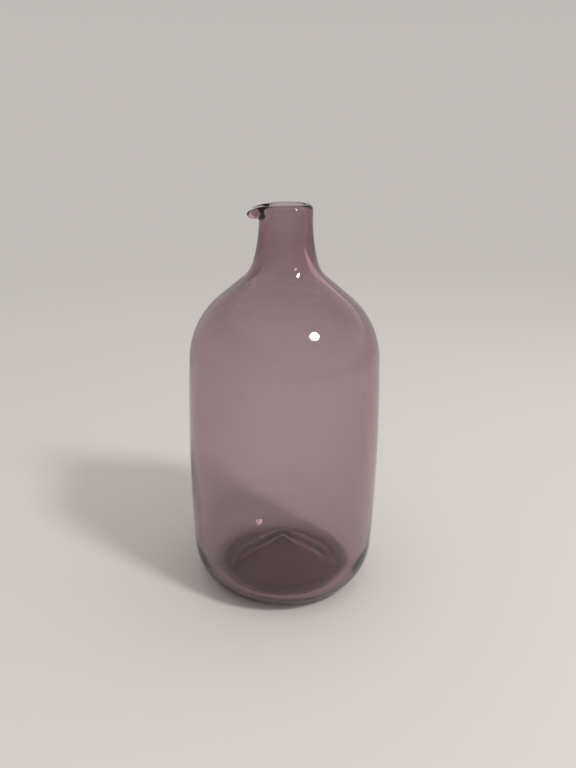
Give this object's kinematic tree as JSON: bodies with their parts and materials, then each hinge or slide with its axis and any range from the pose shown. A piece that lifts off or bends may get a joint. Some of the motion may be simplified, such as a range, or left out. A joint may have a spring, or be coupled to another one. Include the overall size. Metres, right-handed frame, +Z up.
{
  "type": "pouring bottle",
  "caption": "Mouth-blown tinted glass bottle with a kicked-up base, rounded heel and shoulder, a thick-walled neck and a small drooping pouring beak pulled from its rim.",
  "frame": {"origin": "centre of the circle that the bottle rests on, on the table's surface", "axes": "+Z up the bottle's axis to the mouth; -X towards the pouring beak; the beak is symmetric about Y = 0"},
  "size_m": [0.116, 0.116, 0.235],
  "materials": {
    "glass": "clear, smoky amethyst glass, fire-polished, slightly wavy from blowing, with a worn resting ring"
  },
  "bodies": {
    "root": {"base_kick": "glass", "base_heel": "glass", "body_wall": "glass", "shoulder": "glass", "neck": "glass", "mouth_rim": "glass", "pouring_beak": "glass"}
  },
  "joints": []
}
